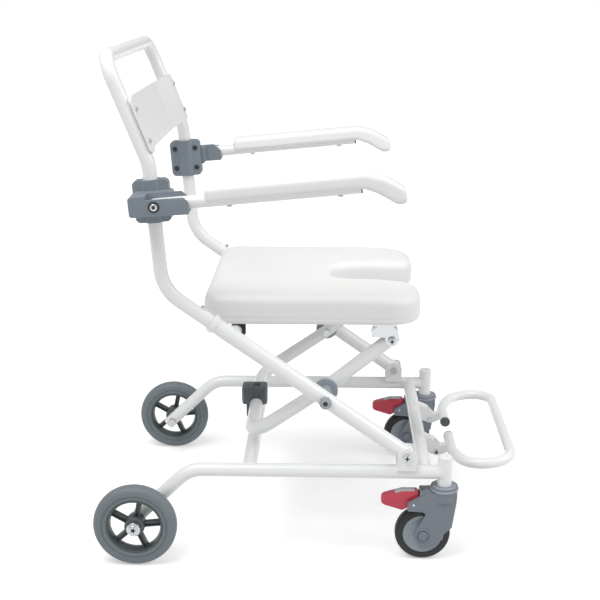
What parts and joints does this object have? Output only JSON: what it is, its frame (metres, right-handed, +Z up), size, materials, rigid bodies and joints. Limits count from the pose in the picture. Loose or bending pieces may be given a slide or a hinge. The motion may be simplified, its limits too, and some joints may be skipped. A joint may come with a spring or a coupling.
{
  "type": "shower commode chair",
  "caption": "Folding shower commode chair with an open-front padded seat, bowed backrest, flip-up armrests, loop footrest, rear wheels and braked casters.",
  "frame": {"origin": "on the floor, under the middle of the chair's overall length and width", "axes": "+X the way the sitter faces, +Y to the sitter's left, +Z up"},
  "size_m": [0.7685, 0.61, 0.9035],
  "materials": {
    "frame_white": "satin",
    "bolt_steel": "satin",
    "clamp_bolt_black": "satin",
    "stem_cap": "satin",
    "bush_nylon": "matte",
    "tyre_grey": "matte",
    "rim_dark": "satin",
    "fork_grey": "satin",
    "tread_black": "matte",
    "hub_grey": "satin",
    "pedal_red": "satin",
    "plug_dark": "matte",
    "spacer_grey": "satin",
    "latch_grey": "satin",
    "seat_foam": "matte",
    "clip_black": "matte",
    "panel_white": "satin",
    "clamp_grey": "satin"
  },
  "bodies": {
    "base_frame": {"base_tube_right": "frame_white", "base_tube_left": "frame_white", "stem_tubes": "frame_white", "stem_caps": "stem_cap", "stem_bushes": "bush_nylon", "front_crossbar": "frame_white", "rear_crossbar": "frame_white", "fold_brackets": "frame_white", "fold_pivot_bolts": "bolt_steel", "footrest_brackets": "frame_white", "footrest_hinge_bolts": "bolt_steel", "rear_axle_bolts": "bolt_steel"},
    "footrest": {"footrest_loop": "frame_white", "footrest_plugs": "plug_dark"},
    "rear_wheel_right": {"rear_tyre_right": "tyre_grey", "rear_rim_right": "rim_dark", "rear_bushes_right": "bush_nylon"},
    "rear_wheel_left": {"rear_tyre_left": "tyre_grey", "rear_rim_left": "rim_dark", "rear_bushes_left": "bush_nylon"},
    "caster_right": {"caster_fork_right": "fork_grey", "caster_pins_right": "bolt_steel"},
    "caster_left": {"caster_fork_left": "fork_grey", "caster_pins_left": "bolt_steel"},
    "caster_wheel_right": {"caster_tread_right": "tread_black", "caster_hub_right": "hub_grey"},
    "caster_wheel_left": {"caster_tread_left": "tread_black", "caster_hub_left": "hub_grey"},
    "brake_right": {"brake_pedal_right": "pedal_red"},
    "brake_left": {"brake_pedal_left": "pedal_red"},
    "lower_frame": {"lower_leg_right": "frame_white", "lower_leg_left": "frame_white", "seat_rest_tube": "frame_white", "cross_spacers": "spacer_grey", "cross_bolts": "bolt_steel", "cross_bolt_caps": "plug_dark"},
    "seat_frame": {"seat_frame_tube": "frame_white", "seat_pivot_bolts": "bolt_steel", "latch_body": "latch_grey"},
    "latch": {"latch_catch": "latch_grey"},
    "seat": {"seat_pad": "seat_foam", "seat_brackets": "bolt_steel", "seat_clips": "clip_black"},
    "back_frame": {"back_tube": "frame_white", "back_panel": "panel_white", "panel_screws": "bolt_steel", "spring_buttons": "bolt_steel", "clamp_plates": "clamp_grey", "clamp_bolts": "clamp_bolt_black", "armrest_carrier_right": "clamp_grey", "armrest_carrier_left": "clamp_grey", "armrest_pivot_bolts": "bolt_steel"},
    "armrest_right": {"armrest_tube_right": "frame_white", "armrest_pad_right": "seat_foam", "armrest_screws_right": "bolt_steel", "armrest_plug_right": "plug_dark"},
    "armrest_left": {"armrest_tube_left": "frame_white", "armrest_pad_left": "seat_foam", "armrest_screws_left": "bolt_steel", "armrest_plug_left": "plug_dark"}
  },
  "joints": [
    {"name": "rear_wheel_right_roll", "type": "hinge", "parent": "base_frame", "child": "rear_wheel_right", "pos_m": [-0.30927, -0.266, 0.075], "axis": [0, 1, 0], "continuous": true},
    {"name": "caster_right_swivel", "type": "hinge", "parent": "base_frame", "child": "caster_right", "pos_m": [0.243, -0.23, 0.1425], "axis": [0, 0, 1], "continuous": true},
    {"name": "caster_right_roll", "type": "hinge", "parent": "caster_right", "child": "caster_wheel_right", "pos_m": [0.206, -0.23, 0.05], "axis": [0, 1, 0], "continuous": true},
    {"name": "brake_right_press", "type": "hinge", "parent": "caster_right", "child": "brake_right", "pos_m": [0.188, -0.23, 0.11], "axis": [0, -1, 0], "range_deg": [0, 20]},
    {"name": "armrest_right_flip", "type": "hinge", "parent": "back_frame", "child": "armrest_right", "pos_m": [-0.25077, -0.28, 0.65788], "axis": [0, -1, 0], "range_deg": [0, 95]},
    {"name": "rear_wheel_left_roll", "type": "hinge", "parent": "base_frame", "child": "rear_wheel_left", "pos_m": [-0.30927, 0.266, 0.075], "axis": [0, 1, 0], "continuous": true},
    {"name": "caster_left_swivel", "type": "hinge", "parent": "base_frame", "child": "caster_left", "pos_m": [0.243, 0.23, 0.1425], "axis": [0, 0, 1], "continuous": true},
    {"name": "caster_left_roll", "type": "hinge", "parent": "caster_left", "child": "caster_wheel_left", "pos_m": [0.206, 0.23, 0.05], "axis": [0, 1, 0], "continuous": true},
    {"name": "brake_left_press", "type": "hinge", "parent": "caster_left", "child": "brake_left", "pos_m": [0.188, 0.23, 0.11], "axis": [0, -1, 0], "range_deg": [0, 20]},
    {"name": "armrest_left_flip", "type": "hinge", "parent": "back_frame", "child": "armrest_left", "pos_m": [-0.25077, 0.28, 0.65788], "axis": [0, -1, 0], "range_deg": [0, 95]},
    {"name": "frame_fold", "type": "hinge", "parent": "base_frame", "child": "lower_frame", "pos_m": [0.174, 0, 0.201], "axis": [0, -1, 0], "range_deg": [0, 25]},
    {"name": "seat_frame_fold", "type": "hinge", "parent": "lower_frame", "child": "seat_frame", "pos_m": [0.02936, 0, 0.30303], "axis": [0, -1, 0], "range_deg": [-50, 0]},
    {"name": "seat_level", "type": "hinge", "parent": "seat_frame", "child": "seat", "pos_m": [0.146, 0, 0.39748], "axis": [0, -1, 0], "range_deg": [0, 25]},
    {"name": "footrest_flip", "type": "hinge", "parent": "base_frame", "child": "footrest", "pos_m": [0.241, 0, 0.146], "axis": [0, -1, 0], "range_deg": [0, 60]},
    {"name": "back_pull_out", "type": "slide", "parent": "lower_frame", "child": "back_frame", "axis": [-0.8171, 0, 0.5764], "range_m": [0, 0.1]},
    {"name": "latch_release", "type": "slide", "parent": "seat_frame", "child": "latch", "axis": [-1, 0, 0], "range_m": [0, 0.008]}
  ],
  "couplings": [
    {"joint": "seat_frame_fold", "follows": "frame_fold", "ratio": -2},
    {"joint": "seat_level", "follows": "frame_fold", "ratio": 1}
  ]
}
